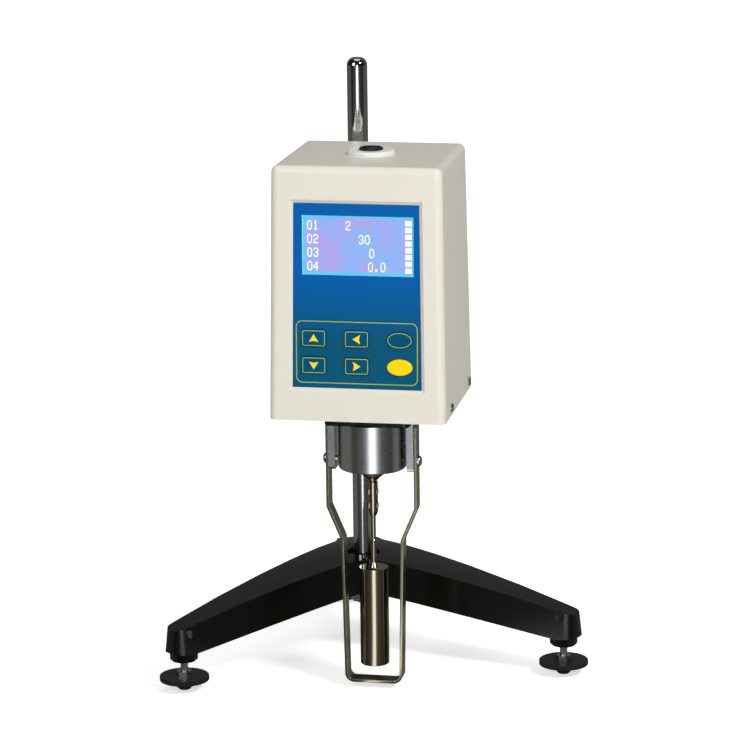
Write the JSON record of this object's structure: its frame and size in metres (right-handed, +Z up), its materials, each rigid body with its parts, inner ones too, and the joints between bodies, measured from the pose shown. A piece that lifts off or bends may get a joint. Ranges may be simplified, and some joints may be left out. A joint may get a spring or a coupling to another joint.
{
  "type": "rotational viscometer",
  "caption": "Bench rotational viscometer: hooded measuring head with display and keypad, rotor in a strip guard, on a rack column over a three-armed levelling stand.",
  "frame": {"origin": "on the column's axis, in the plane of the bench", "axes": "+X to the right of the panel as its user sees it, the panel faces -Y, +Z up along the column"},
  "size_m": [0.2726, 0.259, 0.4024],
  "materials": {
    "cast_black": "semi-gloss black stove enamel on a casting",
    "chrome": "polished hard chrome",
    "steel": "ground and polished stainless steel",
    "zinc_steel": "bright zinc-plated steel",
    "aluminium": "turned aluminium with fine lathe marks",
    "clamp_metal": "black enamel on a die casting",
    "hood_ivory": "warm ivory, fine leather grain",
    "panel_blue": "printed film in deep blue green",
    "key_blue": "domed keys under the same film",
    "key_yellow": "domed key printed olive yellow",
    "window_glass": "clear pane",
    "display": "lit blue-violet display",
    "bezel_white": "white moulding",
    "ring_black": "black moulding",
    "vial_glass": "clear vial with yellow-green spirit",
    "knob_black": "black knurled moulding",
    "pad_black": "black nylon",
    "ruby": "polished synthetic ruby",
    "spring_steel": "blued spring strip",
    "brass": "turned brass",
    "pcb_green": "solder-masked board",
    "motor_black": "black motor laminations and caps",
    "sensor_black": "black moulded sensors",
    "switch_black": "black moulded switch"
  },
  "bodies": {
    "base": {"base_casting": "cast_black", "column": "chrome", "column_nut": "zinc_steel"},
    "carriage": {"lift_clamp": "clamp_metal"},
    "pinion": {"pinion_shaft": "steel", "lift_knob": "knob_black"},
    "column_lock": {"column_lock_screw": "zinc_steel"},
    "arm_lock": {"arm_lock_screw": "zinc_steel"},
    "head": {"hood": "hood_ivory", "hood_screws": "zinc_steel", "front_panel": "panel_blue", "display_window": "window_glass", "display_module": "display", "keypad_board": "pcb_green", "key_switches": "sensor_black", "level_bezel": "bezel_white", "level_ring": "ring_black", "level_vial": "vial_glass", "chassis_plate": "aluminium", "mount_flange": "cast_black", "pivot_housing": "aluminium", "pivot_cap": "steel", "jewel_bearing": "ruby", "guard_lugs": "steel", "guard_frame": "steel", "guard_screws": "zinc_steel", "motor_deck": "aluminium", "deck_posts": "brass", "stepper_motor": "motor_black", "sensor_post": "aluminium", "optical_sensors": "sensor_black", "main_board": "pcb_green", "rear_bracket": "zinc_steel", "mounting_arm": "steel", "power_socket": "sensor_black", "switch_frame": "switch_black"},
    "power_switch": {"switch_rocker": "switch_black"},
    "drive": {"drive_shaft": "brass", "upper_encoder_disc": "sensor_black", "hairspring": "spring_steel"},
    "spindle": {"pivot_shaft": "steel", "lower_encoder_disc": "sensor_black", "spindle_coupling": "steel", "rotor": "steel"},
    "key_up": {"key_up": "key_blue"},
    "key_left": {"key_left": "key_blue"},
    "key_reset": {"key_reset": "key_blue"},
    "key_down": {"key_down": "key_blue"},
    "key_right": {"key_right": "key_blue"},
    "key_enter": {"key_enter": "key_yellow"},
    "pad_front_left": {"foot_pad_front_left": "pad_black"},
    "screw_front_left": {"foot_screw_front_left": "zinc_steel", "foot_wheel_front_left": "knob_black"},
    "pad_front_right": {"foot_pad_front_right": "pad_black"},
    "screw_front_right": {"foot_screw_front_right": "zinc_steel", "foot_wheel_front_right": "knob_black"},
    "pad_rear": {"foot_pad_rear": "pad_black"},
    "screw_rear": {"foot_screw_rear": "zinc_steel", "foot_wheel_rear": "knob_black"}
  },
  "joints": [
    {"name": "lift", "type": "slide", "parent": "base", "child": "carriage", "axis": [0, 0, 1], "range_m": [-0.003, 0.12]},
    {"name": "pinion_turn", "type": "hinge", "parent": "carriage", "child": "pinion", "pos_m": [0, 0.01385, 0.2295], "axis": [1, 0, 0], "range_deg": [-30, 770]},
    {"name": "column_lock_turn", "type": "hinge", "parent": "carriage", "child": "column_lock", "pos_m": [-0.02, 0, 0.2595], "axis": [-1, 0, 0], "range_deg": [0, 360]},
    {"name": "arm_lock_turn", "type": "hinge", "parent": "carriage", "child": "arm_lock", "pos_m": [0.0226, 0, 0.2775], "axis": [0, 0, 1], "range_deg": [0, 360]},
    {"name": "head_roll", "type": "hinge", "parent": "carriage", "child": "head", "pos_m": [0.0226, 0, 0.2555], "axis": [0, 1, 0], "range_deg": [-8, 8]},
    {"name": "drive_spin", "type": "hinge", "parent": "head", "child": "drive", "pos_m": [0.0226, -0.0804, 0.2475], "axis": [0, 0, 1], "continuous": true},
    {"name": "spindle_lag", "type": "hinge", "parent": "drive", "child": "spindle", "pos_m": [0.0226, -0.0804, 0.2325], "axis": [0, 0, 1], "range_deg": [-5, 85], "stiffness_Nm_per_rad": 0.0005},
    {"name": "power_rock", "type": "hinge", "parent": "head", "child": "power_switch", "pos_m": [0.0526, -0.02105, 0.23944], "axis": [1, 0, 0], "range_deg": [0, 12]},
    {"name": "press_up", "type": "slide", "parent": "head", "child": "key_up", "axis": [0, 0.9991, -0.0415], "range_m": [0, 0.0004], "stiffness_N_per_m": 1500},
    {"name": "press_left", "type": "slide", "parent": "head", "child": "key_left", "axis": [0, 0.9991, -0.0415], "range_m": [0, 0.0004], "stiffness_N_per_m": 1500},
    {"name": "press_reset", "type": "slide", "parent": "head", "child": "key_reset", "axis": [0, 0.9991, -0.0415], "range_m": [0, 0.0004], "stiffness_N_per_m": 1500},
    {"name": "press_down", "type": "slide", "parent": "head", "child": "key_down", "axis": [0, 0.9991, -0.0415], "range_m": [0, 0.0004], "stiffness_N_per_m": 1500},
    {"name": "press_right", "type": "slide", "parent": "head", "child": "key_right", "axis": [0, 0.9991, -0.0415], "range_m": [0, 0.0004], "stiffness_N_per_m": 1500},
    {"name": "press_enter", "type": "slide", "parent": "head", "child": "key_enter", "axis": [0, 0.9991, -0.0415], "range_m": [0, 0.0004], "stiffness_N_per_m": 1500},
    {"name": "level_front_left", "type": "slide", "parent": "base", "child": "pad_front_left", "axis": [0, 0, -1], "range_m": [-0.005, 0.008]},
    {"name": "turn_front_left", "type": "hinge", "parent": "pad_front_left", "child": "screw_front_left", "pos_m": [-0.09985, -0.1046, 0.0175], "axis": [0, 0, -1], "range_deg": [-2200, 3500]},
    {"name": "level_front_right", "type": "slide", "parent": "base", "child": "pad_front_right", "axis": [0, 0, -1], "range_m": [-0.005, 0.008]},
    {"name": "turn_front_right", "type": "hinge", "parent": "pad_front_right", "child": "screw_front_right", "pos_m": [0.14048, -0.03432, 0.0175], "axis": [0, 0, -1], "range_deg": [-2200, 3500]},
    {"name": "level_rear", "type": "slide", "parent": "base", "child": "pad_rear", "axis": [0, 0, -1], "range_m": [-0.005, 0.008]},
    {"name": "turn_rear", "type": "hinge", "parent": "pad_rear", "child": "screw_rear", "pos_m": [-0.03256, 0.11134, 0.0175], "axis": [0, 0, -1], "range_deg": [-2200, 3500]}
  ],
  "couplings": [
    {"joint": "pinion_turn", "follows": "lift", "rad_per_m": 111.11},
    {"joint": "level_front_left", "follows": "turn_front_left", "m_per_rad": 0.00012732},
    {"joint": "level_front_right", "follows": "turn_front_right", "m_per_rad": 0.00012732},
    {"joint": "level_rear", "follows": "turn_rear", "m_per_rad": 0.00012732}
  ]
}
